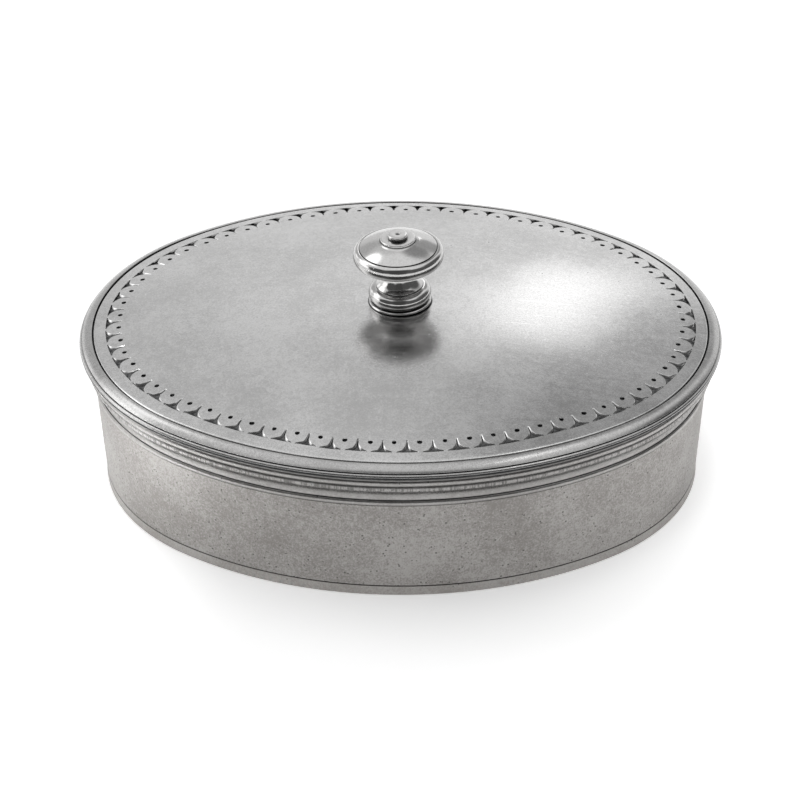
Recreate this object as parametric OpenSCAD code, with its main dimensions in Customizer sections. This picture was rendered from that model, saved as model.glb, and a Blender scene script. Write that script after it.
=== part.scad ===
// Oval pewter box with a lift-off domed lid and a turned mushroom knob.
// The plan is a four-centre oval laid out on a 3-4-5 triangle: two end arcs and two side arcs that meet
// without a kink. Each moulding is one cross-section carried round those four arcs.
// A cross-section's x is the distance from the centre of an end arc, and its y is the height.
// An inset is how far something stands inside the widest edge of the lid.

/* [Oval] */
// Length over the widest edge of the lid, along X
oval_l = 220; // [200:1:260]
// Width over the widest edge of the lid, along Y
oval_w = 180; // [150:1:190]

/* [Body] */
// Height from the underside to the seat of the lid
body_h = 50.7; // [40:0.1:80]
// Inset of the wall's outer face under the rim moulding
wall_inset_top = 5; // [4:0.1:8]
// Inset of the wall's outer face at the foot
wall_inset_foot = 7.8; // [5:0.1:12]
// Thickness of the wall
wall_t = 1.8; // [1.2:0.1:3]
// Thickness of the base plate
floor_t = 2; // [1.2:0.1:4]
// Height of the base plate's edge below the wall
foot_h = 3.9; // [2.5:0.1:8]
// Radius of the base plate's lower edge
foot_r = 0.8; // [0.3:0.1:1.5]
// Height of the base plate's lip inside the wall
lip_h = 3; // [1:0.5:8]
// Thickness of that lip
lip_t = 1.5; // [1:0.1:3]
// Room for solder between the lip and the wall
solder_gap = 0.1; // [0.05:0.05:0.3]

/* [Rim moulding] */
// Inset of the moulding's top fillet
fillet_inset = 1.6; // [1:0.1:3]
// Height of the top fillet
fillet_h = 1.25; // [0.8:0.05:2.5]
// Height of the upper reed
upper_reed_h = 2.25; // [1.5:0.05:4]
// Height of the lower reed
lower_reed_h = 2.7; // [1.5:0.05:4]
// How far the lower reed stands back from the upper one
reed_step = 0.6; // [0.2:0.05:1]
// Radius of a reed or bead as a share of its height
reed_roundness = 0.6; // [0.55:0.01:0.8]
// Height of the hollow below the reeds
cavetto_h = 4.6; // [3:0.1:8]
// Radius of the hollow
cavetto_r = 5; // [4:0.1:12]
// Height of the bead at the moulding's foot
bead_h = 2; // [1:0.1:3]

/* [Lid edge] */
// Height of the lid's upright edge
edge_h = 2.8; // [2:0.1:5]
// Radius of the edge's lower corner
edge_r = 1; // [0.4:0.1:1.6]
// Depth of the fine step above the upright edge
edge_step = 0.25; // [0.1:0.05:0.5]
// Rise of the rounded band from the step to the groove
band_rise = 1.5; // [0.8:0.1:2.5]
// Radius of the rounded band
band_r = 7; // [5:0.5:20]
// Inset of the groove between the band and the lid plate
groove_inset = 4.3; // [3.5:0.1:6]
// Width of the groove
groove_w = 0.5; // [0.3:0.05:1]
// Depth of the flange that locates the lid
flange_h = 8; // [4:0.5:11]
// Thickness of the flange
flange_t = 1.5; // [1:0.1:2.5]
// Clearance between the flange and the body
flange_clear = 0.4; // [0.2:0.05:0.8]

/* [Lid plate] */
// Thickness of the domed plate
plate_t = 1.5; // [1:0.1:2.5]
// Rise of the dome from the groove to its top
dome_rise = 11; // [6:0.5:20]
// Inset of the punched border's outer line
border_inset = 9; // [8:0.1:12]
// Inset of the ring where the lobes of the border touch
lobe_inset = 13; // [12:0.1:17]
// Inset of the ring of punched dots
dot_inset = 13.6; // [12:0.1:18]
// Spacing of the border's motifs
motif_pitch = 8.3; // [6:0.1:12]
// Gap between neighbouring lobes where they are closest
lobe_gap = 0.3; // [0.1:0.05:0.6]
// Depth of the punched recesses
punch_depth = 0.5; // [0.2:0.05:0.8]
// Width of a punched dot
dot_d = 1.6; // [1:0.1:2.5]

/* [Knob] */
// Diameter of the knob's foot
knob_foot_d = 21.4; // [16:0.1:28]
// Height of the foot's rounded block
knob_foot_h = 6.4; // [4:0.1:9]
// Height of the thin bead under the foot
knob_bead_h = 1; // [0.6:0.1:2]
// Diameter of the neck
knob_neck_d = 11; // [8:0.1:14]
// Height of the neck's narrowest place
knob_neck_z = 11.8; // [8:0.1:16]
// Radius of the hollow round the neck
knob_neck_r = 6; // [4:0.1:9]
// Diameter of the head
knob_head_d = 31; // [24:0.1:38]
// Height of the head's widest place
knob_head_z = 18.4; // [14:0.1:24]
// Thickness of the head's rounded rim
knob_rim_t = 5.4; // [3:0.1:7]
// Depth of that rim outside the cap
knob_rim_w = 2; // [1:0.1:3]
// Height of the head's cap above the rim
knob_cap_h = 3.4; // [2:0.1:6]
// Width of the fine step between rim and cap
knob_cap_step = 0.3; // [0.1:0.05:0.6]
// Diameter of the boss under the button
boss_d = 12; // [9:0.1:14]
// Height of the boss above the cap
boss_h = 0.4; // [0.3:0.1:2]

/* [Knob fixing] */
// Diameter of the stud
stud_d = 5; // [3:0.1:6]
// Diameter of the stud's button head
button_d = 6.8; // [6:0.1:9]
// Height of the button head
button_h = 1.5; // [1:0.1:3]
// Radial clearance round the stud
stud_clear = 0.2; // [0.1:0.05:0.4]
// Diameter of the washer
washer_d = 12; // [9:0.1:18]
// Thickness of the washer
washer_t = 1.2; // [0.8:0.1:2]
// Width of the nut across its flats
nut_af = 8; // [7:0.1:12]
// Height of the nut
nut_h = 4; // [2.5:0.1:6]
// Length of stud that shows below the nut
stud_tail = 1.5; // [0.5:0.1:3]

/* [Hidden] */
$fn = 180;

// Layout of the oval: the centres lie on the 3, 4 and 5 sides of a right triangle
triangle_unit = (oval_l - oval_w) / 4;
end_x = 3 * triangle_unit;
side_y = 4 * triangle_unit;
ridge_r = 5 * triangle_unit;
end_r = oval_l / 2 - end_x;
end_half = atan2(4, 3);
side_half = 90 - end_half;

// Angle by which two mirrored arcs overlap where they meet on an axis
arc_overlap = 2;

// Insets of the body's inner face, the flange, the ledge inside the flange and the lid plate
inner_inset = wall_inset_top + wall_t;
flange_inset = inner_inset + flange_clear;
ledge_inset = flange_inset + flange_t;
plate_inset = groove_inset + groove_w;

// Places in the cross-sections
inner_x = end_r - inner_inset;
ledge_x = end_r - ledge_inset;
wall_x = end_r - wall_inset_top;
foot_x = end_r - wall_inset_foot;

// Rim moulding, as depths below the seat of the lid
upper_reed_z = fillet_h + upper_reed_h;
lower_reed_z = upper_reed_z + lower_reed_h;
cavetto_z = lower_reed_z + cavetto_h;
moulding_h = cavetto_z + bead_h;

// Heights of the lid, and the radii of its dome along and across the oval
edge_z = body_h + edge_h;
groove_z = edge_z + band_rise;
dome_z = groove_z + dome_rise;
dome_long_r = cap_radius(oval_l / 2 - plate_inset, dome_rise);
dome_cross_r = cap_radius(oval_w / 2 - plate_inset, dome_rise);

// Punched border
motif_count = 2 * round(oval_length(lobe_inset) / motif_pitch / 2);
lobe_r = (oval_length(lobe_inset) / motif_count - lobe_gap) / 2;
dot_r = cap_radius(dot_d / 2, punch_depth);

// Knob
cap_x = knob_head_d / 2 - knob_rim_w;
cap_z = knob_head_z + knob_rim_t / 2;
cap_r = cap_radius(cap_x, knob_cap_h);
boss_z = cap_z + knob_cap_h + boss_h;
stud_hole_r = stud_d / 2 + stud_clear;
washer_z = dome_z - plate_t - sag(dome_cross_r - plate_t, washer_d / 2) - washer_t;
nut_z = washer_z - nut_h;

// Room by which a cut runs past the face that it opens
cut = 1;

pewter = [0.63, 0.63, 0.61];
pewter_bright = [0.72, 0.72, 0.71];
pewter_dark = [0.52, 0.52, 0.51];

// Radius of an arc that rises by h over a half-chord, and the rise of an arc of radius r
function cap_radius(half_chord, h) = (half_chord * half_chord + h * h) / (2 * h);
function sag(r, half_chord) = r - sqrt(r * r - half_chord * half_chord);

// Length of the oval's side arc from the short axis to the joint, and of its end arc from there on
function side_arc(inset) = (end_r + ridge_r - inset) * side_half * PI / 180;
function end_arc(inset) = (end_r - inset) * end_half * PI / 180;
function oval_length(inset) = 4 * (side_arc(inset) + end_arc(inset));

// Place on the oval at a distance from the front, counter-clockwise: centre, direction and radius of its arc
function oval_place(distance, inset) =
    let (side = side_arc(inset), end = end_arc(inset))
    distance < side ? side_place(270, distance / side, inset)
    : distance < side + 2 * end ? end_place(0, (distance - side) / end - 1, inset)
    : distance < 3 * side + 2 * end ? side_place(90, (distance - 2 * side - 2 * end) / side, inset)
    : distance < 3 * side + 4 * end ? end_place(180, (distance - 3 * side - 2 * end) / end - 1, inset)
    : side_place(270, (distance - 4 * side - 4 * end) / side, inset);
function side_place(facing, share, inset) =
    [0, -side_y * sin(facing), facing + share * side_half, end_r + ridge_r - inset];
function end_place(facing, share, inset) =
    [end_x * cos(facing), 0, facing + share * end_half, end_r - inset];

function oval_point(distance, inset) =
    let (place = oval_place(distance, inset))
    [place[0] + place[3] * cos(place[2]), place[1] + place[3] * sin(place[2])];

// Centre of the circle of radius r that bulges to the left of the line from p to q
function arc_centre(p, q, r) =
    let (d = q - p, n = [d.y, -d.x] / norm(d))
    (p + q) / 2 + n * sqrt(r * r - d * d / 4);

// Carries a cross-section round the oval, in quarters that meet where a side arc turns into an end arc
module oval_sweep() {
    for (flip_x = [0, 1], flip_y = [0, 1])
        mirror([flip_x, 0, 0]) mirror([0, flip_y, 0]) quarter_sweep() children();
}

module quarter_sweep() {
    translate([end_x, 0]) rotate(end_half) mirror([0, 1, 0])
        rotate_extrude(angle = end_half + arc_overlap) children();
    translate([0, -side_y]) rotate(end_half)
        rotate_extrude(angle = side_half + arc_overlap) translate([ridge_r, 0]) children();
}

// The oval's area inside an inset
module oval_area(inset) {
    joint_x = (end_r + ridge_r - inset) * cos(end_half);
    for (side = [-1, 1]) translate([side * end_x, 0]) circle(end_r - inset);
    intersection() {
        translate([0, -side_y]) circle(end_r + ridge_r - inset);
        translate([0, side_y]) circle(end_r + ridge_r - inset);
        square([2 * joint_x, oval_w], center = true);
    }
}

// Sets copies of a shape round the oval at even distances
module around_oval(count, inset) {
    for (i = [0 : count - 1]) {
        place = oval_place(i / count * oval_length(inset), inset);
        translate([place[0], place[1], 0]) rotate(place[2]) translate([place[3], 0, 0]) children();
    }
}

// Rectangle between two corners
module block(low, high) {
    translate(low) square(high - low);
}

// Flat base plate with a thick edge, and a lip that enters the wall
module base_plate() {
    lip_x = foot_x - wall_t - solder_gap;
    color(pewter_dark) {
        linear_extrude(floor_t) oval_area(wall_inset_foot + wall_t);
        oval_sweep() {
            block([lip_x - lip_t, foot_r], [foot_x, foot_h]);
            block([lip_x - lip_t, 0], [foot_x - foot_r, foot_h]);
            translate([foot_x - foot_r, foot_r]) circle(foot_r);
            block([lip_x - lip_t, 0], [lip_x, foot_h + lip_h]);
        }
    }
}

// Strip of sheet bent round the oval, drawn in towards the foot
module body_wall() {
    top_z = body_h - moulding_h;
    color(pewter) oval_sweep()
        polygon([[foot_x - wall_t, foot_h], [foot_x, foot_h], [wall_x, top_z], [wall_x - wall_t, top_z]]);
}

// Round of a given height that stands out to a crest
module reed(crest_x, middle_z, height) {
    r = reed_roundness * height;
    translate([crest_x - r, middle_z]) circle(r);
}

// Cast band round the mouth: fillet, two reeds, a hollow and a bead, with a flat top that seats the lid
module rim_moulding() {
    fillet_x = end_r - fillet_inset;
    lower_crest_x = fillet_x - reed_step;
    lower_reed_mid = -(upper_reed_z + lower_reed_h / 2);
    bead_mid = -(cavetto_z + bead_h / 2);
    hollow_top = [lower_crest_x - lower_reed_h / 4, -lower_reed_z];
    hollow_foot = [wall_x, -cavetto_z];
    color(pewter) translate([0, 0, body_h]) oval_sweep() {
        block([inner_x, -fillet_h], [fillet_x, 0]);
        block([inner_x, lower_reed_mid], [fillet_x - reed_roundness * upper_reed_h, -fillet_h / 2]);
        reed(fillet_x, -(fillet_h + upper_reed_h / 2), upper_reed_h);
        reed(lower_crest_x, lower_reed_mid, lower_reed_h);
        difference() {
            block([inner_x, bead_mid], [hollow_top.x, lower_reed_mid]);
            translate(arc_centre(hollow_foot, hollow_top, cavetto_r)) circle(cavetto_r);
        }
        block([inner_x, -moulding_h], [wall_x, bead_mid]);
        intersection() {
            reed(wall_x + bead_h / 3, bead_mid, bead_h);
            block([inner_x, -moulding_h], [end_r, 0]);
        }
    }
}

// Moulded edge of the lid, with a ledge inside that the lid plate is soldered to
module lid_rim() {
    groove_x = end_r - groove_inset;
    step_x = end_r - edge_step;
    band_centre = arc_centre([groove_x, groove_z], [step_x, edge_z], band_r);
    color(pewter) oval_sweep() {
        block([ledge_x, body_h], [end_r - edge_r, edge_z]);
        block([ledge_x, body_h + edge_r], [end_r, edge_z]);
        translate([end_r - edge_r, body_h + edge_r]) circle(edge_r);
        intersection() {
            translate(band_centre) circle(band_r);
            block([groove_x, edge_z - edge_h / 2], [end_r, groove_z]);
        }
    }
}

// Collar under the lid that drops inside the mouth of the body
module lid_flange() {
    color(pewter_dark) translate([0, 0, body_h - flange_h]) linear_extrude(flange_h) difference() {
        oval_area(flange_inset);
        oval_area(ledge_inset);
    }
}

// Solid under the dome, at a depth below its surface: one arc across the oval turned about an axis below it
module under_dome(depth) {
    cross_r = dome_cross_r - depth;
    long_r = dome_long_r - depth;
    spread = asin(oval_l / 2 / (long_r - 2 * dome_rise));
    translate([0, 0, dome_z - dome_long_r]) rotate([90, 0, 0]) rotate(90 - spread)
        rotate_extrude(angle = 2 * spread) intersection() {
            translate([long_r - cross_r, 0]) circle(cross_r);
            block([long_r - 2 * dome_rise, -oval_w / 2], [long_r, oval_w / 2]);
        }
}

// Domed plate with a thick edge that sits on the ledge of the lid rim
module lid_plate() {
    color(pewter) difference() {
        intersection() {
            translate([0, 0, edge_z]) linear_extrude(dome_z) oval_area(plate_inset);
            under_dome(0);
        }
        intersection() {
            translate([0, 0, edge_z - cut]) linear_extrude(dome_z) oval_area(ledge_inset);
            under_dome(plate_t);
        }
        border_recesses();
        translate([0, 0, dome_z - plate_t - cut]) cylinder(h = plate_t + 2 * cut, r = stud_hole_r);
    }
}

// Punched border: curved triangles left between a row of round lobes, and a dot in each lobe
module border_recesses() {
    difference() {
        translate([0, 0, edge_z]) linear_extrude(dome_rise) difference() {
            oval_area(border_inset);
            oval_area(lobe_inset);
            around_oval(motif_count, lobe_inset) circle(lobe_r);
        }
        under_dome(punch_depth);
    }
    for (i = [0 : motif_count - 1]) {
        at = oval_point(i / motif_count * oval_length(dot_inset), dot_inset);
        drop = sag(dome_cross_r, at.y) + sag(dome_long_r, at.x);
        translate([at.x, at.y, dome_z - drop + dot_r - punch_depth]) rotate([90, 0, 0]) sphere(dot_r);
    }
}

// Turned mushroom knob: bead, rounded foot, hollow neck, rounded rim, low cap and boss
module knob() {
    foot_rx = knob_foot_d / 2;
    foot_round = (knob_foot_h - knob_bead_h) / 2;
    neck_x = knob_neck_d / 2;
    rim_r = knob_rim_t / 2;
    color(pewter_bright) translate([0, 0, dome_z]) difference() {
        rotate_extrude() difference() {
            union() {
                block([0, 0], [foot_rx - knob_bead_h / 2, knob_bead_h]);
                translate([foot_rx - knob_bead_h / 2, knob_bead_h / 2]) circle(knob_bead_h / 2);
                block([0, knob_bead_h], [foot_rx - foot_round, knob_foot_h]);
                translate([foot_rx - foot_round, knob_foot_h - foot_round]) circle(foot_round);
                difference() {
                    block([0, knob_foot_h - foot_round], [foot_rx - foot_round, knob_head_z]);
                    translate([neck_x + knob_neck_r, knob_neck_z]) circle(knob_neck_r);
                }
                block([0, knob_head_z - rim_r], [cap_x, cap_z]);
                translate([cap_x, knob_head_z]) scale([knob_rim_w / rim_r, 1]) circle(rim_r);
                intersection() {
                    translate([0, cap_z + knob_cap_h - cap_r]) circle(cap_r);
                    block([0, knob_head_z], [cap_x - knob_cap_step, cap_z + knob_cap_h]);
                }
                block([0, cap_z], [boss_d / 2, boss_z - boss_h]);
                block([0, cap_z], [boss_d / 2 - boss_h, boss_z]);
                translate([boss_d / 2 - boss_h, boss_z - boss_h]) circle(boss_h);
            }
            block([-knob_head_d, -cut], [0, boss_z + cut]);
        }
        translate([0, 0, -cut]) cylinder(h = boss_z + 2 * cut, r = stud_hole_r);
    }
}

// Stud that passes through knob and lid, with a button head that shows on top
module knob_stud() {
    button_round = button_h / 3;
    button_z = dome_z + boss_z;
    color(pewter_bright) {
        translate([0, 0, nut_z - stud_tail]) cylinder(h = button_z - nut_z + stud_tail, d = stud_d);
        translate([0, 0, button_z]) rotate_extrude() {
            block([0, 0], [button_d / 2, button_h - button_round]);
            block([0, 0], [button_d / 2 - button_round, button_h]);
            intersection() {
                translate([button_d / 2 - button_round, button_h - button_round]) circle(button_round);
                block([0, 0], [button_d / 2, button_h]);
            }
        }
    }
}

// Washer under the lid plate
module stud_washer() {
    color(pewter_dark) translate([0, 0, washer_z]) difference() {
        cylinder(h = washer_t, d = washer_d);
        translate([0, 0, -cut]) cylinder(h = washer_t + 2 * cut, r = stud_hole_r);
    }
}

// Six-sided nut that draws the knob down
module stud_nut() {
    color(pewter_dark) translate([0, 0, nut_z]) difference() {
        cylinder(h = nut_h, d = nut_af / cos(30), $fn = 6);
        translate([0, 0, -cut]) cylinder(h = nut_h + 2 * cut, r = stud_d / 2 + stud_clear / 4);
    }
}

base_plate();
body_wall();
rim_moulding();
lid_rim();
lid_flange();
lid_plate();
knob();
knob_stud();
stud_washer();
stud_nut();
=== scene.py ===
import math
import random

import bmesh
import bpy
from mathutils import Matrix, Vector


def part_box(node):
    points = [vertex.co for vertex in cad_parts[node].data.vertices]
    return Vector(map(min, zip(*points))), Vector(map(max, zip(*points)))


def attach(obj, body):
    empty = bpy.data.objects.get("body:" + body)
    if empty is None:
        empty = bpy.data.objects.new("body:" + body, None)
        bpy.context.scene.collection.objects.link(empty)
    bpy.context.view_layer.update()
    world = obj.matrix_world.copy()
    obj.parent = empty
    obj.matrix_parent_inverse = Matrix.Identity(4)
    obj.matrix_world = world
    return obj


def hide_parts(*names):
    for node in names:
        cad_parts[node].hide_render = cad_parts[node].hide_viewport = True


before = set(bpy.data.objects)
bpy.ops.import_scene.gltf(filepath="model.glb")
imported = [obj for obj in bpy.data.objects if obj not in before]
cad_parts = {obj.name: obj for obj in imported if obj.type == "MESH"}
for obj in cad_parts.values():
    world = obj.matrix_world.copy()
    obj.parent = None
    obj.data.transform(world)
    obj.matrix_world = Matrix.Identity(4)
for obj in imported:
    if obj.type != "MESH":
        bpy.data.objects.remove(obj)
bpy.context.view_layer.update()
scene = bpy.context.scene


# Base plate: the flat oval bottom of the box, cast in pewter with a thick, rounded edge.
# The wall stands on that edge and is soldered round a low lip inside it.
# The whole box follows one oval of four arcs, which meet where a 3-4-5 triangle puts their centres.
mm = 0.001
half_long, half_short = (round(reach, 4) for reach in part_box("lid_rim")[1].xy)
unit = (half_long - half_short) / 2
end_turn = 2 * math.atan2(4, 3)
side_turn = math.pi - end_turn
end_arc_r = half_long - 3 * unit
side_arc_r = half_short + 4 * unit
oval_arcs = [
    (Vector((0, 4 * unit, 0)), side_arc_r, side_turn / 2),
    (Vector((3 * unit, 0, 0)), end_arc_r, end_turn),
    (Vector((0, -4 * unit, 0)), side_arc_r, side_turn),
    (Vector((-3 * unit, 0, 0)), end_arc_r, end_turn),
    (Vector((0, 4 * unit, 0)), side_arc_r, side_turn / 2),
]
sweep_step = 1.6 * mm
weld_gap = 0.005 * mm
crease_angle = math.radians(24)


def inset_of(node):
    """How far a node's outer face stands inside the widest edge of the lid."""
    return half_short - round(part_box(node)[1].y, 4)


def spaced(low, high, steps):
    """Evenly spaced values from low to high."""
    return [low + (high - low) * step / steps for step in range(steps + 1)]


def bow(centre, reach, start, stop, steps):
    """Clean round stretch of a section, with its reach sideways and upwards, from angle to angle."""
    angles = [math.radians(angle) for angle in spaced(start, stop, steps)]
    return [(centre[0] + reach[0] * math.cos(a), centre[1] + reach[1] * math.sin(a), 0) for a in angles]


def draw_section(points, closed):
    """Starts a mesh with a chain of (x, y, z, dirt and painted light) points, and gives its corners and
    edges.
    """
    shell = bmesh.new()
    dirt_and_painted_light = shell.verts.layers.float.new("dirt_and_painted_light")
    corners = []
    for x, y, z, dirt_and_light in points:
        corner = shell.verts.new((x, y, z))
        corner[dirt_and_painted_light] = dirt_and_light
        corners.append(corner)
    pairs = list(zip(corners, corners[1:]))
    if closed:
        pairs.append((corners[-1], corners[0]))
    return shell, corners + [shell.edges.new(pair) for pair in pairs]


def carry_round(section, closed=True):
    """Carries a section of (inset, height, dirt and painted light) points once round the oval, from the
    front.
    """
    points = [(0, inset - half_short, height, dirt_and_light) for inset, height, dirt_and_light in section]
    shell, swept = draw_section(points, closed)
    for centre, radius, turn in oval_arcs:
        steps = round(turn * radius / sweep_step)
        turned = bmesh.ops.spin(shell, geom=swept, cent=centre, axis=(0, 0, 1), angle=turn, steps=steps)
        swept = turned["geom_last"]
    return shell


def make_piece(name, shell, material, body, slot, *nodes):
    """Closes a mesh, shades its round faces smooth, and puts it in the place of its nodes."""
    bmesh.ops.remove_doubles(shell, verts=shell.verts, dist=weld_gap)
    bmesh.ops.recalc_face_normals(shell, faces=shell.faces)
    for face in shell.faces:
        face.smooth = True
    for edge in shell.edges:
        edge.smooth = edge.calc_face_angle(0) < crease_angle
    mesh = bpy.data.meshes.new(name)
    shell.to_mesh(mesh)
    shell.free()
    piece = bpy.data.objects.new(name, mesh)
    scene.collection.objects.link(piece)
    mesh.materials.append(material)
    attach(piece, body)
    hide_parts(*nodes)


class Wire:
    """A socket in a shader's tree; arithmetic on wires adds Math nodes."""

    def __init__(self, tree, socket=None):
        self.tree = tree
        self.socket = socket

    def node(self, kind, settings, sockets, output=0):
        made = self.tree.nodes.new("ShaderNode" + kind)
        for name, value in settings.items():
            setattr(made, name, value)
        for name, value in sockets.items():
            if isinstance(value, Wire):
                self.tree.links.new(value.socket, made.inputs[name])
            else:
                made.inputs[name].default_value = value
        return Wire(self.tree, made.outputs[output])

    def feed(self, shader, name):
        self.tree.links.new(self.socket, shader.inputs[name])

    def math(self, operation, first, second):
        return self.node("Math", {"operation": operation}, {0: first, 1: second})

    def __add__(self, other):
        return self.math("ADD", self, other)

    def __radd__(self, other):
        return self.math("ADD", other, self)

    def __sub__(self, other):
        return self.math("SUBTRACT", self, other)

    def __rsub__(self, other):
        return self.math("SUBTRACT", other, self)

    def __mul__(self, other):
        return self.math("MULTIPLY", self, other)

    def __rmul__(self, other):
        return self.math("MULTIPLY", other, self)


def grade(value, low, high, start=0.0, stop=1.0):
    """Eases a wire from start to stop as it goes from low to high."""
    sockets = {"Value": value, "From Min": low, "From Max": high, "To Min": start, "To Max": stop}
    return value.node("MapRange", {"interpolation_type": "SMOOTHSTEP"}, sockets)


def tint(share, first, second):
    """A colour between two others. A Mix node takes colours at inputs 6 and 7, and gives one at output 2."""
    return share.node("Mix", {"data_type": "RGBA"}, {0: share, 6: first, 7: second}, 2)


def grey(level, warmth=0.0):
    """A grey, warm where red stands above blue."""
    return (level * (1 + warmth), level, level * (1 - warmth), 1.0)


def pewter(name, level, warmth, roughness, grain_mm, wave_mm, pits, mottle, rub_mm=0.003, chatter=None):
    """Pewter with a cast grain, slow waves, pits, rubbed scratches, and a near-black coat where its
    dirt-and-light value stands above nought, partly dirt and partly painted shade.

    The values in mm are heights of the relief. Below nought the value paints the metal lighter and less
    pitted, as painted fill light inside the box. Chatter is the pair of heights between which the scraper
    left upright dashes.
    """
    material = bpy.data.materials.new(name)
    material.use_nodes = True
    shader = material.node_tree.nodes["Principled BSDF"]
    shader.inputs["Metallic"].default_value = 1.0
    start = Wire(material.node_tree)
    place = start.node("TexCoord", {}, {}, "Object")
    dirt_and_light = start.node("Attribute", {"attribute_name": "dirt_and_painted_light"}, {}, "Fac")
    clouds = start.node("TexNoise", {}, {"Vector": place, "Scale": 38, "Detail": 3.0, "Roughness": 0.55})
    specks = start.node("TexNoise", {}, {"Vector": place, "Scale": 420, "Detail": 2.0, "Roughness": 0.6})
    grain = start.node("TexNoise", {}, {"Vector": place, "Scale": 1500, "Detail": 2.0, "Roughness": 0.7})
    cells = start.node("TexVoronoi", {}, {"Vector": place, "Scale": 650}, "Distance")
    pit = grade(cells, 0.12, 0.3, 1.0, 0.0) * grade(specks, 0.62 - pits, 0.72 - pits)
    rub = 0
    for turn, fineness in ((0.5, 900), (-0.9, 1100)):
        stretch = {"Vector": place, "Rotation": (0, 0, turn), "Scale": (22, fineness, 60)}
        turned = start.node("Mapping", {}, stretch)
        streak = start.node("TexNoise", {}, {"Vector": turned, "Scale": 1.0, "Detail": 1.0})
        rub = rub + grade(streak, 0.66, 0.74)
    shade = grade(clouds * 0.35 + specks * 0.2 + grain * 0.45, 0.38, 0.62)
    metal = tint(shade, grey(level * (1 - mottle), warmth), grey(level * (1 + mottle), warmth * 0.6))
    # Below nought: painted fill light, which paints the metal 1.7 to 2.5 times lighter, with fewer pits.
    painted_fill = grade(-1 * dirt_and_light, 0.0, 1.0)
    painted_fill_colour = tint(shade, grey(level * 1.7, warmth * 0.6), grey(level * 2.5, warmth * 0.4))
    metal = tint(painted_fill, metal, painted_fill_colour)
    stain = pit * (1 - painted_fill * 0.5)
    if chatter:
        height = start.node("SeparateXYZ", {}, {"Vector": place}, "Z")
        upright = start.node("Mapping", {}, {"Vector": place, "Scale": (2200, 2200, 120)})
        dash = start.node("TexNoise", {}, {"Vector": upright, "Scale": 1.0, "Detail": 1.0})
        above = grade(height, chatter[0] - mm, chatter[0])
        below = grade(height, chatter[1], chatter[1] + mm, 1.0, 0.0)
        stain = stain + grade(dash, 0.48, 0.56) * above * below * (1 - painted_fill)
    spotted = tint(stain * 0.75, metal, grey(level * 0.3, warmth))
    # Above nought: the metal is painted nearly black, partly dirt and partly painted shade.
    soot_and_shade = grade(dirt_and_light + (specks - 0.5) * 0.5 * dirt_and_light, 0.05, 0.95)
    tint(soot_and_shade * 0.97, spotted, grey(level * 0.04, -0.05)).feed(shader, "Base Color")
    dull = roughness + (clouds - 0.5) * 0.14 + (specks - 0.5) * 0.08 + soot_and_shade * 0.25 + pit * 0.2 - rub * 0.05
    dull.feed(shader, "Roughness")
    relief = grain * grain_mm + specks * (grain_mm * 1.6) + clouds * wave_mm - pit * 0.05 - rub * rub_mm
    start.node("Bump", {}, {"Height": relief, "Distance": mm, "Strength": 1.0}).feed(shader, "Normal")
    return material


dull_pewter = pewter(
    "dull_pewter", level=0.38, warmth=0.05, roughness=0.5,
    grain_mm=0.010, wave_mm=0.04, pits=0.05, mottle=0.16,
)
foot_inset = inset_of("base_plate")
foot_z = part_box("body_wall")[0].z
lip_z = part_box("base_plate")[1].z
foot_round = 0.8 * mm
seam_chamfer = 0.22 * mm
wall_t = 1.8 * mm
lip_play = 0.1 * mm
lip_inset = foot_inset + wall_t + lip_play
lip_t = 1.5 * mm
floor_corner_h = 0.4 * mm
floor_t = 2 * mm
# Inside the box the floor and the lip are painted lighter, as painted fill light, less so in the corner
# where they meet; the seam under the wall is a dark joint.
base_section = [
    (lip_inset + lip_t, floor_t, -0.8),
    (lip_inset + lip_t, floor_t + floor_corner_h, 0.2),
    (lip_inset + lip_t, lip_z, -0.8),
    (lip_inset, lip_z, 0),
    (lip_inset, foot_z, 0.6),
    (foot_inset + seam_chamfer, foot_z, 1),
    (foot_inset, foot_z - seam_chamfer, 0.3),
    (foot_inset, foot_z - 3 * seam_chamfer, 0),
    (foot_inset, 2 * foot_round, 0),
]
base_section += bow((foot_inset + foot_round, foot_round), (-foot_round, foot_round), 0, -90, 5)
base_shell = carry_round(base_section, closed=False)
bmesh.ops.remove_doubles(base_shell, verts=base_shell.verts, dist=weld_gap)
base_rims = [edge for edge in base_shell.edges if edge.is_boundary]
bmesh.ops.holes_fill(base_shell, edges=base_rims, sides=0)
make_piece("cast_base", base_shell, dull_pewter, "box", "pewter_base", "base_plate")


# Wall: one strip of sheet pewter bent round the oval and soldered to the base plate.
# It leans in a little towards the foot, and its skin keeps the grain and pits of the cast sheet.
wall_pewter = pewter(
    "wall_pewter", level=0.33, warmth=0.05, roughness=0.5,
    grain_mm=0.012, wave_mm=0.05, pits=0.13, mottle=0.26,
)
wall_top_inset = inset_of("body_wall")
wall_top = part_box("body_wall")[1].z
seam_fade = 0.5 * mm
wall_slope = (foot_inset - wall_top_inset) / (wall_top - foot_z)
# Its inside face is painted lighter, as painted fill light; the seam at the foot is a dark joint.
wall_section = [
    (foot_inset + wall_t, foot_z, -1),
    (foot_inset + seam_chamfer, foot_z, 1),
    (foot_inset, foot_z + seam_chamfer, 0.3),
    (foot_inset - wall_slope * seam_fade, foot_z + seam_fade, 0),
    (wall_top_inset + wall_slope * seam_fade, wall_top - seam_fade, 0),
    (wall_top_inset, wall_top, 1),
    (wall_top_inset + wall_t, wall_top, -1),
]
make_piece("bent_wall", carry_round(wall_section), wall_pewter, "box", "pewter_body", "body_wall")


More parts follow.
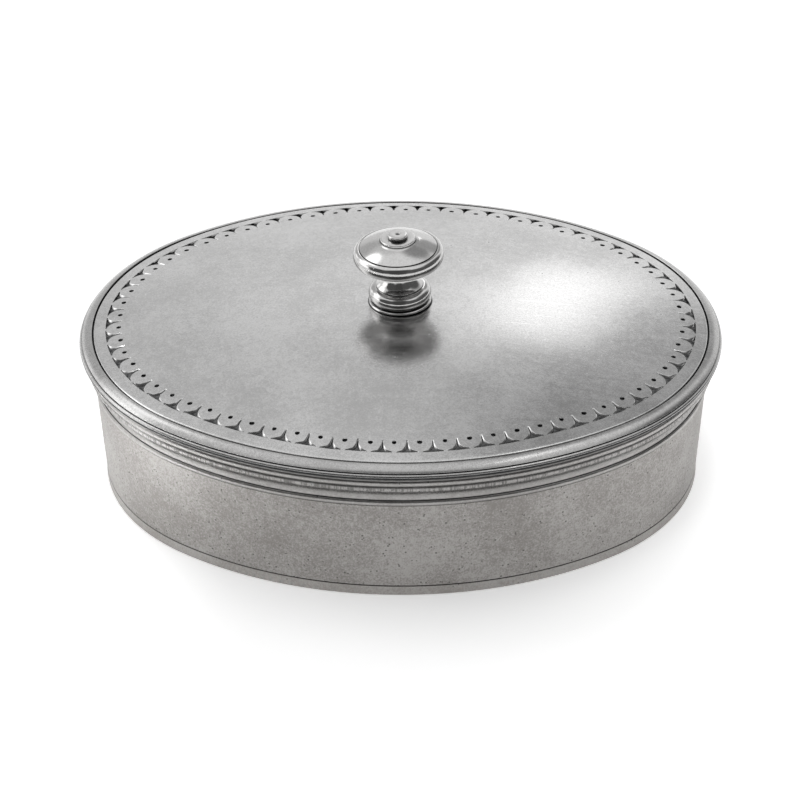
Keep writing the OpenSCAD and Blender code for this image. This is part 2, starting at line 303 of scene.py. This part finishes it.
# Rim moulding: a cast band soldered round the mouth, with a fillet, two reeds, a hollow and a bead.
# Its flat top is the seat of the lid; its outer edge, in the gap under the lid, is painted dark as shadow.
# Every quirk between the members is darkened, partly dirt and partly painted shade,
# and the scraper that cut the hollow left upright dashes in it.
seat_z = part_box("rim_moulding")[1].z
moulding_foot_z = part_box("rim_moulding")[0].z
fillet_inset = inset_of("rim_moulding")
mouth_inset = wall_top_inset + wall_t
fillet_h = 1.25 * mm
upper_reed_h = 2.25 * mm
lower_reed_h = 2.7 * mm
reed_step = 0.6 * mm
reed_roundness = 0.6
hollow_r = 5 * mm
bead_h = 2 * mm
edge_break = 0.15 * mm
chatter_reach = 1.4 * mm


def reed(crest_inset, top_z, height):
    """Half-round member of the moulding between two quirks, which are darkened, partly dirt and partly
    painted shade.
    """
    radius = reed_roundness * height
    swing = math.degrees(math.asin(0.5 / reed_roundness))
    points = bow((crest_inset + radius, top_z - height / 2), (-radius, radius), swing, -swing, 10)
    return [(*points[0][:2], 0.6), *points[1:-1], (*points[-1][:2], 0.4)]


def curve(first, last, radius, steps, side=-1):
    """Arc between two points of a section, about a centre outside it (side -1) or inside it (side 1)."""
    start = Vector(first)
    half_chord = (Vector(last) - start) / 2
    across = half_chord.orthogonal().normalized()
    if across.x * side < 0:
        across.negate()
    centre = start + half_chord + across * math.sqrt(radius * radius - half_chord.length_squared)
    spokes = [(start + half_chord * (2 * step / steps) - centre).normalized() for step in range(steps + 1)]
    return [(*(centre + spoke * radius), 0) for spoke in spokes]


reeds_z = seat_z - fillet_h
lower_reed_z = reeds_z - upper_reed_h
hollow_z = lower_reed_z - lower_reed_h
bead_z = moulding_foot_z + bead_h
rim_pewter = pewter(
    "rim_pewter", level=0.35, warmth=0.03, roughness=0.36,
    grain_mm=0.008, wave_mm=0.03, pits=0.04, mottle=0.16,
    chatter=(hollow_z - chatter_reach, hollow_z + chatter_reach),
)
lower_crest = fillet_inset + reed_step
hollow_top = (lower_crest + lower_reed_h / 4, hollow_z)
hollow_foot = (wall_top_inset, bead_z)
# The inside of the mouth is painted lighter, as painted fill light. The seat's outer edge and the fillet, in
# the gap under the lid, are painted dark as the lid's shadow, with some dirt.
rim_section = [
    (mouth_inset, moulding_foot_z, -1),
    (mouth_inset, seat_z - edge_break, -1),
    (mouth_inset - edge_break, seat_z, -0.5),
    (fillet_inset + 4 * edge_break, seat_z, 0.9),
    (fillet_inset + edge_break, seat_z, 0.7),
    (fillet_inset, seat_z - edge_break, 0.7),
    (fillet_inset, reeds_z + edge_break, 0.4),
    (fillet_inset + edge_break, reeds_z, 0.8),
]
rim_section += reed(fillet_inset, reeds_z, upper_reed_h)
rim_section += reed(lower_crest, lower_reed_z, lower_reed_h)
rim_section += curve(hollow_top, hollow_foot, hollow_r, 8)[1:-1]
rim_section += [(*hollow_foot, 1)]
rim_section += reed(wall_top_inset - bead_h / 3, bead_z, bead_h)
make_piece("rim_band", carry_round(rim_section), rim_pewter, "box", "pewter_body", "rim_moulding")


# Lid rim: the moulded edge of the lid, cast as one ring with a ledge inside for the domed plate.
# A half-round edge, darkened underneath, partly dirt and partly painted shade, carries a low band; the fine
# quirk between them and the groove by the plate are darkened the same way.
edge_pewter = pewter(
    "edge_pewter", level=0.44, warmth=0.01, roughness=0.26,
    grain_mm=0.005, wave_mm=0.04, pits=-0.02, mottle=0.14, rub_mm=0.0008,
)
edge_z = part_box("lid_plate")[0].z
groove_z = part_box("lid_rim")[1].z
plate_inset = inset_of("lid_plate")
flange_inset = inset_of("lid_flange")
flange_t = 1.5 * mm
ledge_inset = flange_inset + flange_t
edge_r = 1 * mm
groove_w = 0.5 * mm
groove_inset = plate_inset - groove_w
quirk_inset = 0.9 * mm
quirk_z = seat_z + 2 * edge_r
band_r = 6 * mm
band_drop = 0.3 * mm
band_low = (quirk_inset, edge_z - band_drop)
band_high = (groove_inset - edge_break, groove_z)
edge_shade_and_dirt = 0.9
# The underside and the lower half of the edge, the quirk and the groove are painted dark: partly dirt,
# partly painted shade.
lid_rim_section = [(ledge_inset, seat_z, 0), (edge_r + edge_break, seat_z, 0.8)]
edge_mid = (edge_r, seat_z + edge_r)
lid_rim_section += [(*point[:2], edge_shade_and_dirt) for point in bow(edge_mid, (-edge_r, edge_r), -80, 5, 6)]
lid_rim_section += bow(edge_mid, (-edge_r, edge_r), 20, 75, 6)
lid_rim_section += [(edge_r, quirk_z, 1), (quirk_inset, band_low[1] - edge_break, 1)]
lid_rim_section += curve(band_low, band_high, band_r, 10, side=1)
lid_rim_section += [
    (groove_inset, groove_z - edge_break, 0.5),
    (groove_inset, edge_z, 1),
    (ledge_inset, edge_z, 0.5),
]
make_piece("lid_edge", carry_round(lid_rim_section), edge_pewter, "lid", "pewter_lid", "lid_rim")


# Lid flange: a plain collar of sheet soldered under the lid rim, which drops inside the box's mouth.
# Its lower edge is rounded so that it finds the mouth easily.
flange_round = flange_t / 2
flange_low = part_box("lid_flange")[0].z
flange_section = [(flange_inset, seat_z, 0.3), (ledge_inset, seat_z, 0.3)]
flange_mid = (flange_inset + flange_round, flange_low + flange_round)
flange_section += bow(flange_mid, (-flange_round, flange_round), -180, 0, 8)
make_piece("lid_collar", carry_round(flange_section), dull_pewter, "lid", "pewter_base", "lid_flange")


# Lid plate: a sheet of pewter raised to a low dome and soldered on the ledge of the lid rim.
# Its border is punched by hand, with curved triangles between round lobes and a dot in each lobe.
# The punch marks are painted dark inside, partly dirt and partly painted shade.
# It is drawn flat as one cell, with a triangle in its middle and half a dot on either side.
lid_pewter = pewter(
    "lid_pewter", level=0.57, warmth=0.005, roughness=0.22,
    grain_mm=0.005, wave_mm=0.04, pits=-0.04, mottle=0.14, rub_mm=0.0008,
)
dome_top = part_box("knob")[0].z
dome_rise = dome_top - groove_z
plate_t = 1.5 * mm
stud_hole_r = 2.7 * mm
motif_count = 66
border_inset = 9 * mm
lobe_inset = 13 * mm
lobe_gap = 1.0 * mm
dot_inset = 13.6 * mm
dot_r = 0.85 * mm
tail_w = 0.7 * mm
tail_inset = 14.5 * mm
cell_low = 8 * mm
cell_high = 16.5 * mm
punch_depth = 0.8 * mm
punch_w = 0.62 * mm
shoulder_depth = 0.16 * mm
shoulder_w = 0.22 * mm
tip_angle = math.radians(77)
tip_reach = 0.3 * mm
tip_share = 0.2
base_share = 0.3
lobe_share = 0.6
lobe_stops = (10.4 * mm, 11.8 * mm)
longest_edge = 1.4 * mm
border_length = sum(turn * (radius - lobe_inset) for centre, radius, turn in oval_arcs)
pitch = border_length / motif_count
half_pitch = pitch / 2
lobe_r = half_pitch - lobe_gap / 2
tip_x = half_pitch - lobe_r * math.cos(tip_angle) + tip_reach
hand = random.Random(11)


def cap_radius(half_chord, rise):
    """Radius of an arc that rises by so much over half its chord."""
    return (half_chord * half_chord + rise * rise) / (2 * rise)


dome_long_r = cap_radius(half_long - plate_inset, dome_rise)
dome_cross_r = cap_radius(half_short - plate_inset, dome_rise)


def dome_z(x, y):
    """Height of the dome: one arc across the oval, turned about an axis below it."""
    cross_drop = dome_cross_r - math.sqrt(dome_cross_r ** 2 - y * y)
    return dome_top - dome_long_r + math.sqrt((dome_long_r - cross_drop) ** 2 - x * x)


def oval_point(share, inset):
    """Point at a share of the way round the border, counted from the front, and an inset."""
    distance = share % 1 * border_length
    facing = -math.pi / 2
    for centre, radius, turn in oval_arcs:
        length = turn * (radius - lobe_inset)
        if distance <= length:
            break
        distance -= length
        facing += turn
    facing += distance / (radius - lobe_inset)
    return centre + (radius - inset) * Vector((math.cos(facing), math.sin(facing), 0))


def draw_loop(cell, points):
    """Adds a closed outline to the flat cell and gives its edges."""
    corners = [cell.verts.new((*point, 0)) for point in points]
    return [cell.edges.new(pair) for pair in zip(corners, corners[1:] + corners[:1])]


def next_ring(shell, edges):
    """Extrudes a ring or chain of edges, and gives its new corners and edges."""
    grown = bmesh.ops.extrude_edge_only(shell, edges=edges)["geom"]
    corners = [item for item in grown if isinstance(item, bmesh.types.BMVert)]
    fresh = set(corners)
    ring = [item for item in grown if isinstance(item, bmesh.types.BMEdge) and fresh.issuperset(item.verts)]
    return corners, ring


def on_dot(edge, centre):
    """Whether both ends of an edge lie within the rim of the dot about a centre."""
    return all((corner.co.xy - centre).length < dot_r + weld_gap for corner in edge.verts)


def sink_dot(cell, rim, centre, stages):
    """Sinks what lies inside a dot's rim, in stages of (share of the rim's size, depth)."""
    dirt_and_light = cell.verts.layers.float["dirt_and_painted_light"]
    size = 1
    for share, depth in stages:
        corners, rim = next_ring(cell, rim)
        for corner in corners:
            corner.co = (*(centre + (corner.co.xy - centre) * (share / size)), -depth)
            # The dot is painted dark all the way down: partly dirt, partly painted shade.
            corner[dirt_and_light] = 1
        size = share
    bmesh.ops.pointmerge(cell, verts=corners, merge_co=(*centre, -depth))


def gap_at(x):
    """Width of the triangle, from its straight side to the lobe, at a distance from its middle line."""
    aside = min(lobe_r, half_pitch - abs(x))
    return lobe_inset - border_inset - math.sqrt(lobe_r * lobe_r - aside * aside)


def spandrel(inward, depth):
    """Outline of the triangle, moved inward and sunk, less so in its narrow tips.

    Where the two sides would pass each other, as in the tail, they meet in a crease.
    """
    right = [(tip_x - tip_share * inward, border_inset + tip_share / 2 * inward, -tip_share * depth)]
    for angle in spaced(tip_angle, 0, 9):
        gap = gap_at(half_pitch - lobe_r * math.cos(angle))
        reach = lobe_r + inward * min(1, lobe_share * gap / punch_w)
        x = half_pitch - reach * math.cos(angle)
        sink = depth * min(1, gap / punch_w, 1 + x / punch_w)
        right.append((max(0, x), lobe_inset - reach * math.sin(angle), -sink))
    tail_x = tail_w / 2 - inward
    right.append((max(0, tail_x), tail_inset - inward, -depth * min(1, 1 + tail_x / punch_w)))
    left = [(-x, inset, z) for x, inset, z in reversed(right)]
    base = []
    for x in spaced(-tip_x, tip_x, 8)[1:-1]:
        share = min(1, gap_at(x) / punch_w)
        base.append((x, border_inset + base_share * inward * share, -depth * share))
    return right + left + base


cell = bmesh.new()
cell_dirt_and_shade = cell.verts.layers.float.new("dirt_and_painted_light")
triangle_rim = draw_loop(cell, [point[:2] for point in spandrel(0, 0)])
right_edge = [(half_pitch, inset) for inset in (cell_low, border_inset, *lobe_stops)]
for angle in spaced(-math.pi / 2, math.pi / 2, 6):
    right_edge.append((half_pitch - dot_r * math.cos(angle), dot_inset + dot_r * math.sin(angle)))
right_edge.append((half_pitch, (dot_inset + dot_r + cell_high) / 2))
left_edge = [(-x, inset) for x, inset in reversed(right_edge)]
columns = spaced(-half_pitch, half_pitch, 6)
high_line = [(x, cell_high) for x in reversed(columns)]
low_line = [(x, cell_low) for x in columns[1:-1]]
cell_rim = draw_loop(cell, right_edge + high_line + left_edge + low_line)
bmesh.ops.triangle_fill(cell, use_beauty=True, edges=triangle_rim + cell_rim)
inner_edges = [edge for edge in cell.edges if not edge.is_boundary]
long_edges = [edge for edge in inner_edges if edge.calc_length() > longest_edge]
bmesh.ops.subdivide_edges(cell, edges=long_edges, cuts=1)
bmesh.ops.triangulate(cell, faces=cell.faces)
inner_edges = [edge for edge in cell.edges if not edge.is_boundary]
bmesh.ops.beautify_fill(cell, faces=cell.faces, edges=inner_edges)
outline = spandrel(0, 0)
# The sunk ring of each triangle, and the crease along its tail, are painted dark: partly dirt, partly
# painted shade.
for inward, depth, soil_and_shade in ((shoulder_w, shoulder_depth, 0.1), (punch_w, punch_depth, 0.7)):
    sunk_outline = spandrel(inward, depth)
    sunk_corners, triangle_rim = next_ring(cell, triangle_rim)
    for corner in sunk_corners:
        nearest = min(range(len(outline)), key=lambda step: (corner.co - Vector(outline[step])).length)
        corner.co = sunk_outline[nearest]
        corner[cell_dirt_and_shade] = soil_and_shade if corner.co.x else 1
    outline = sunk_outline
bmesh.ops.remove_doubles(cell, verts=sunk_corners, dist=weld_gap)
sunk_corners = {corner for corner in sunk_corners if corner.is_valid}
sunk_rim = [edge for edge in cell.edges if edge.is_boundary and sunk_corners.issuperset(edge.verts)]
bmesh.ops.triangle_fill(cell, use_beauty=True, edges=sunk_rim)
dot_stages = [(0.9, 0.5 * punch_depth), (0.7, punch_depth), (0.35, 1.3 * punch_depth)]
for side in (half_pitch, -half_pitch):
    dot_centre = Vector((side, dot_inset))
    dot_rim = [edge for edge in cell.edges if edge.is_boundary and on_dot(edge, dot_centre)]
    sink_dot(cell, dot_rim, dot_centre, dot_stages)
cell_mesh = bpy.data.meshes.new("punched_cell")
cell.to_mesh(cell_mesh)
cell.free()


def slip(along, across):
    """One slip of the hand, with its usual reach in mm along the border and across it."""
    return Vector((hand.gauss(0, along), hand.gauss(0, across))) * mm


slips = [slip(0.12, 0.1) for motif in range(motif_count)]
dot_slips = [slip(0.13, 0.13) for motif in range(motif_count)]
blows = [hand.uniform(0.8, 1.15) for motif in range(motif_count)]
dot_blows = [hand.uniform(0.85, 1.2) for motif in range(motif_count)]
slip_fade = 1.2 * mm
stray = 0.25 * mm
stray_swing = 0.35 * mm


def wander(share):
    """How far the border strays inward from its oval, as the hand laid it out by eye."""
    turn = math.tau * share
    return stray + stray_swing * (math.cos(turn) - math.cos(4 * turn))


def punched_place(flat, motif):
    """Place on the dome of a point of one motif's cell, with the slips of the hand that punched it."""
    across = flat.x / pitch
    moved = flat.xy
    blow = blows[motif]
    if cell_low + weld_gap < flat.y < cell_high - weld_gap:
        nearest_dot = (motif + (across > 0)) % motif_count
        from_dot = (flat.xy - Vector((math.copysign(half_pitch, across), dot_inset))).length
        if from_dot < dot_r:
            blow = dot_blows[nearest_dot]
        fade = min(1, (flat.y - cell_low) / slip_fade, (cell_high - flat.y) / slip_fade)
        moved += slips[motif] * (1 - (2 * abs(across)) ** 4)
        moved.y += wander((motif + 0.5 + across) / motif_count) * fade
        moved += dot_slips[nearest_dot] * max(0, 1 - max(0, from_dot - dot_r) / slip_fade)
    point = oval_point((motif + 0.5 + moved.x / pitch) / motif_count, moved.y)
    point.z = dome_z(point.x, point.y) + flat.z * blow
    return point


plate = bmesh.new()
plate_dirt_and_shade = plate.verts.layers.float.new("dirt_and_painted_light")
share_layer = plate.verts.layers.float.new("share")
for motif in range(motif_count):
    before = len(plate.verts)
    plate.from_mesh(cell_mesh)
    plate.verts.ensure_lookup_table()
    for corner in plate.verts[before:]:
        corner[share_layer] = (motif + 0.5 + corner.co.x / pitch) / motif_count
        corner.co = punched_place(corner.co, motif)
bpy.data.meshes.remove(cell_mesh)
bmesh.ops.remove_doubles(plate, verts=plate.verts, dist=weld_gap)


def at_inset(inset, height=None, depth=0.0):
    """Gives each column of the plate its point at an inset, on the dome, below it or at a height."""
    def place(share):
        point = oval_point(share, inset)
        point.z = dome_z(point.x, point.y) - depth if height is None else height
        return point
    return place


def toward_hole(part, depth=0.0):
    """Gives each column its point at a part of the way from the stud's hole to the border."""
    def place(share):
        border = oval_point(share, cell_high)
        point = (border.normalized() * stud_hole_r).lerp(border, part)
        point.z = dome_z(point.x, point.y) - depth
        return point
    return place


def round_knob(radius):
    """Gives each column its point at a distance from the middle of the dome."""
    def place(share):
        point = oval_point(share, cell_high).normalized() * radius
        point.z = dome_z(point.x, point.y)
        return point
    return place


def grow_rings(ring, places):
    """Grows the plate ring by ring, with each corner where its column's place says."""
    for place in places:
        corners, ring = next_ring(plate, ring)
        for corner in corners:
            corner.co = place(corner[share_layer])
            corner[plate_dirt_and_shade] = 0


half_width = half_short - (cell_low + cell_high) / 2
border_edges = [edge for edge in plate.edges if edge.is_boundary]
length_scale = half_width / (half_long - (cell_low + cell_high) / 2)
outer_ring = [
    edge for edge in border_edges
    if Vector((edge.verts[0].co.x * length_scale, edge.verts[0].co.y)).length > half_width
]
inner_ring = [edge for edge in border_edges if edge not in outer_ring]
lip_r = 0.5 * mm
lip_stops = (7 * mm, 6 * mm)
lip_rings = [at_inset(inset) for inset in lip_stops]
for angle in spaced(0, math.pi / 2, 5):
    back = lip_r * (1 - math.sin(angle))
    drop = lip_r * (1 - math.cos(angle))
    lip_rings.append(at_inset(plate_inset + back, depth=drop))
grow_rings(outer_ring, lip_rings)
dome_steps = 22
knob_steps = 3
knob_stops = (11.9 * mm, 11.2 * mm, 10.8 * mm, 6 * mm, stud_hole_r)
foot_shade_in = 6 * mm
foot_shade_out = 11 * mm
foot_shade_and_dirt = 0.9
under_rings = [toward_hole(step / dome_steps) for step in range(dome_steps - 1, knob_steps, -1)]
under_rings += [round_knob(radius) for radius in knob_stops]
under_rings += [toward_hole(part, plate_t) for part in spaced(0, 1, 10)]
under_rings += [at_inset(inset, depth=plate_t) for inset in (lobe_inset, ledge_inset)]
under_rings += [at_inset(ledge_inset, edge_z), at_inset(plate_inset, edge_z)]
under_rings += [at_inset(plate_inset, depth=lip_r)]
grow_rings(inner_ring, under_rings)
# Painted contact shadow, with some dirt, on the dome under and round the knob's foot.
for corner in plate.verts:
    near_foot = foot_shade_in < corner.co.xy.length < foot_shade_out
    if near_foot and corner.co.z > dome_top - plate_t / 2:
        corner[plate_dirt_and_shade] = foot_shade_and_dirt
plate.verts.layers.float.remove(plate.verts.layers.float["share"])
make_piece("punched_dome", plate, lid_pewter, "lid", "pewter_lid", "lid_plate")


# Knob: turned from a solid casting and burnished bright, with a foot, a hollow neck and a mushroom head.
# It stands on the top of the dome and is drawn down by the stud through its middle.
knob_pewter = pewter(
    "knob_pewter", level=0.56, warmth=0.01, roughness=0.13,
    grain_mm=0.002, wave_mm=0.02, pits=-0.02, mottle=0.08, rub_mm=0.001,
)
knob_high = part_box("knob")[1]
knob_foot_r = 10.7 * mm
knob_bead_h = 1 * mm
knob_foot_h = 6.4 * mm
knob_neck_r = 5.5 * mm
neck_hollow_r = 6 * mm
neck_z = 11.8 * mm
head_z = 18.4 * mm
head_rim_w = 2 * mm
head_rim_h = 2.7 * mm
cap_h = 3.4 * mm
cap_step = 0.3 * mm
boss_r = 6 * mm
boss_h = 0.4 * mm
lean = math.radians(1.6)
turn_steps = 144


def turn_piece(section):
    """Turns (radius, height, dirt and painted light) points about the knob's axis, and leans them as the
    knob leans.

    A section that doesn't start on the axis is closed to a ring.
    """
    points = [(radius, 0, dome_top + height, dirt_and_light) for radius, height, dirt_and_light in section]
    shell, swept = draw_section(points, closed=section[0][0] > 0)
    bmesh.ops.spin(
        shell, geom=swept, cent=(0, 0, 0), axis=(0, 0, 1), angle=math.tau, steps=turn_steps, use_merge=True
    )
    bmesh.ops.rotate(shell, verts=shell.verts, cent=(0, 0, dome_top), matrix=Matrix.Rotation(-lean, 3, "Y"))
    return shell


bead_r = knob_bead_h / 2
foot_round_r = (knob_foot_h - knob_bead_h) / 2
foot_shoulder = knob_foot_r - foot_round_r
hollow_mid = knob_neck_r + neck_hollow_r
hollow_low = math.degrees(math.acos((hollow_mid - foot_shoulder) / neck_hollow_r))
hollow_high = math.degrees(math.asin((head_z - head_rim_h - neck_z) / neck_hollow_r))
head_mid = knob_high.x - head_rim_w
cap_z = head_z + head_rim_h
cap_r = cap_radius(head_mid, cap_h)
cap_mid = cap_z + cap_h - cap_r
cap_edge = math.degrees(math.acos((head_mid - cap_step) / cap_r))
boss_edge = math.degrees(math.acos(boss_r / cap_r))
boss_z = cap_z + cap_h + boss_h
# Dark at the foot's contact with the dome, in the quirk above the bead, under the head, round the cap and
# round the boss: partly dirt, partly painted shade and painted contact shadow.
knob_section = [(stud_hole_r, 0, 0), (knob_foot_r - bead_r, 0, 1)]
knob_section += bow((knob_foot_r - bead_r, bead_r), (bead_r, bead_r), -60, 70, 6)
knob_section += [(knob_foot_r - 2 * bead_r, knob_bead_h, 1)]
knob_section += bow((foot_shoulder, knob_foot_h - foot_round_r), (foot_round_r, foot_round_r), -65, 84, 14)
knob_section += [(foot_shoulder, knob_foot_h, 0.7)]
knob_section += bow((hollow_mid, neck_z), (-neck_hollow_r, -neck_hollow_r), hollow_low, -hollow_high, 14)
knob_section += [(head_mid - head_rim_w, head_z - head_rim_h, 0.5)]
knob_section += bow((head_mid, head_z), (head_rim_w, head_rim_h), -80, 82, 16)
knob_section += [(head_mid - cap_step, cap_z - cap_step / 2, 1)]
knob_section += bow((0, cap_mid), (cap_r, cap_r), cap_edge, boss_edge, 12)[:-1]
knob_section += [(boss_r, boss_z - 2 * boss_h, 0.9)]
knob_section += bow((boss_r - boss_h, boss_z - boss_h), (boss_h, boss_h), 10, 90, 5)
knob_section += [(stud_hole_r, boss_z, 0.5)]
make_piece("turned_knob", turn_piece(knob_section), knob_pewter, "lid", "pewter_knob", "knob")


# Stud: a bolt of pewter through the knob and the lid, whose low button head shows on top of the knob.
# Its other end is threaded for the nut under the lid. The button has a dimple from the lathe's centre.
stud_low, stud_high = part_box("knob_stud")
stud_end = stud_low.z - dome_top
stud_r = 2.5 * mm
button_r = stud_high.x
button_h = 1.5 * mm
button_round = button_h / 3
button_z = boss_z + button_h
thread_pitch = 0.8 * mm
thread_depth = 0.35 * mm
thread_turns = 11
button_undercut = 0.1 * mm
button_mid = (button_r - button_round, button_z - button_round)
dimple = ((1.6, 0, 0), (0.9, 0.05, 0.2), (0.5, 0.3, 0.7), (0, 0.4, 0.8))
stud_section = [(0, stud_end, 0)]
for turn in range(thread_turns):
    stud_section.append((stud_r - thread_depth, stud_end + turn * thread_pitch, 0.6))
    stud_section.append((stud_r, stud_end + (turn + 0.5) * thread_pitch, 0))
stud_section += [(stud_r, boss_z, 0.5), (button_r - button_undercut, boss_z, 1)]
stud_section += bow(button_mid, (button_round, button_round), 0, 80, 5)
stud_section += [(radius * mm, button_z - drop * mm, dirt_and_light) for radius, drop, dirt_and_light in dimple]
make_piece("stud_button", turn_piece(stud_section), knob_pewter, "lid", "pewter_knob", "knob_stud")


# Washer and nut: plain fixings under the lid that draw the knob down, cut from bar and left as cut.
# They keep their own solids and take the dull finish of the parts that nobody sees.
for node in ("stud_washer", "stud_nut"):
    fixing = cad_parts[node]
    fixing.data.materials.clear()
    fixing.data.materials.append(dull_pewter)


# Floor: a plain white table top that keeps the box's soft shadow.
# The camera and the metal see it lifted to white, so that the box stands on a white ground.
floor_reach = 6
floor_lift = 0.42
floor_mesh = bmesh.new()
bmesh.ops.create_grid(floor_mesh, x_segments=1, y_segments=1, size=floor_reach)
floor_data = bpy.data.meshes.new("table")
floor_mesh.to_mesh(floor_data)
floor_mesh.free()
floor = bpy.data.objects.new("table", floor_data)
scene.collection.objects.link(floor)


def seen_directly(start):
    """1 where a ray comes straight from the camera, or by way of a mirror or glass."""
    seen = start.node("LightPath", {}, {}, "Is Camera Ray")
    for name in ("Is Glossy Ray", "Is Transmission Ray"):
        seen = start.math("MAXIMUM", seen, start.node("LightPath", {}, {}, name))
    return seen


table_white = bpy.data.materials.new("table_white")
table_white.use_nodes = True
table_shader = table_white.node_tree.nodes["Principled BSDF"]
table_shader.inputs["Base Color"].default_value = grey(0.94)
table_shader.inputs["Roughness"].default_value = 0.9
table_shader.inputs["Specular IOR Level"].default_value = 0.0
table_shader.inputs["Emission Strength"].default_value = 1.0
table_start = Wire(table_white.node_tree)
tint(seen_directly(table_start), grey(0.0), grey(floor_lift)).feed(table_shader, "Emission Color")
floor_data.materials.append(table_white)


# Studio: a white room with windows on the left, greyer patches of wall and ceiling at the back, and dark
# walls on the right and round the camera, which the sides of the punch marks mirror. Two lamps with grids
# hang over the table on either side of the box, and one behind it lights up the dome.
studio = bpy.data.worlds.new("studio")
scene.world = studio
studio.use_nodes = True
background = studio.node_tree.nodes["Background"]
studio_start = Wire(studio.node_tree)
facing = studio_start.node("TexCoord", {}, {}, "Generated")


def toward(azimuth, elevation):
    """Direction at an azimuth to the right of straight back, and an elevation, in degrees."""
    a, e = math.radians(azimuth), math.radians(elevation)
    return Vector((math.sin(a) * math.cos(e), math.cos(a) * math.cos(e), math.sin(e)))


def zone(azimuth, elevation, edge, core):
    """1 within a core angle of a direction, easing to 0 at an edge angle."""
    settings = {"operation": "DOT_PRODUCT"}
    sockets = {0: facing, 1: toward(azimuth, elevation)}
    nearness = studio_start.node("VectorMath", settings, sockets, "Value")
    return grade(nearness, math.cos(math.radians(edge)), math.cos(math.radians(core)))


room = grey(1.0)
for azimuth, elevation, edge, core, level in (
    (22, 52, 18, 8, 0.35),
    (24, 30, 15, 9, 0.45),
    (-32, 25, 24, 6, 0.6),
    (-12, 8, 20, 6, 0.85),
    (-16, 48, 18, 6, 0.75),
    (88, 8, 46, 26, 0.12),
    (180, 30, 42, 26, 0.08),
    (134, 20, 30, 20, 0.12),
    (-128, 20, 32, 22, 0.1),
    (-52, 50, 12, 8, 2.3),
    (-50, 12, 9, 5, 1.6),
    (-72, 30, 15, 10, 2.4),
    (-86, 7, 20, 12, 1.9),
):
    room = tint(zone(azimuth, elevation, edge, core), room, grey(level))
room.feed(background, "Color")


def soft_lamp(name, spot, aim, width, height, energy, spread=180):
    """Rectangular soft box at a spot, turned to an aim, with a grid that narrows its spread."""
    lamp = bpy.data.lights.new(name, "AREA")
    lamp.shape = "RECTANGLE"
    lamp.size = width
    lamp.size_y = height
    lamp.energy = energy
    lamp.spread = math.radians(spread)
    holder = bpy.data.objects.new(name, lamp)
    turn = (aim - spot).to_track_quat("-Z", "Y")
    holder.matrix_world = Matrix.Translation(spot) @ turn.to_matrix().to_4x4()
    scene.collection.objects.link(holder)


crown = Vector((0, 0, dome_top))
left_spot = Vector((-0.2, -0.08, 0))
right_spot = Vector((0.2, -0.04, 0))
hang = Vector((0, 0, 0.3))
back_way = 1.8 * toward(9.3, 28.8)
soft_lamp("table_lamp", left_spot + hang, left_spot, 0.16, 0.16, energy=0.15, spread=30)
soft_lamp("side_lamp", right_spot + hang, right_spot, 0.2, 0.2, energy=0.06, spread=40)
soft_lamp("back_lamp", crown + back_way, crown, 0.21, 0.56, energy=0.42)


# Camera: a long lens in front of the box, a little to the right of its middle and well above it.
# It aims below the lid's widest edge, so that the box stands in the middle of the picture.
picture_w = 802
focal_px = 5546
sight_distance = 1.9
sight_height = math.radians(31.5)
sight_side = math.radians(1.58)
sight_roll = math.radians(-0.4)
target = Vector((0, 0, edge_z))
target_px = (400.49, 331.51)
target_right_px = target_px[0] - picture_w / 2
target_up_px = picture_w / 2 - target_px[1]
sight_back = Vector((
    math.sin(sight_side) * math.cos(sight_height),
    -math.cos(sight_side) * math.cos(sight_height),
    math.sin(sight_height),
))
level_right = Vector((math.cos(sight_side), math.sin(sight_side), 0))
level_up = sight_back.cross(level_right)
rolled_right = level_right * math.cos(sight_roll) + level_up * math.sin(sight_roll)
rolled_up = level_up * math.cos(sight_roll) - level_right * math.sin(sight_roll)
aim_back = (sight_back * focal_px + rolled_right * target_right_px + rolled_up * target_up_px).normalized()
aim_right = rolled_up.cross(aim_back).normalized()
aim_up = aim_back.cross(aim_right)
lens = bpy.data.cameras.new("camera")
lens.sensor_width = 36
lens.lens = focal_px / picture_w * lens.sensor_width
lens.clip_end = 50
camera = bpy.data.objects.new("camera", lens)
turn = Matrix((aim_right, aim_up, aim_back)).transposed()
camera.matrix_world = Matrix.Translation(target + sight_back * sight_distance) @ turn.to_4x4()
scene.collection.objects.link(camera)
scene.camera = camera
scene.view_settings.view_transform = "Standard"
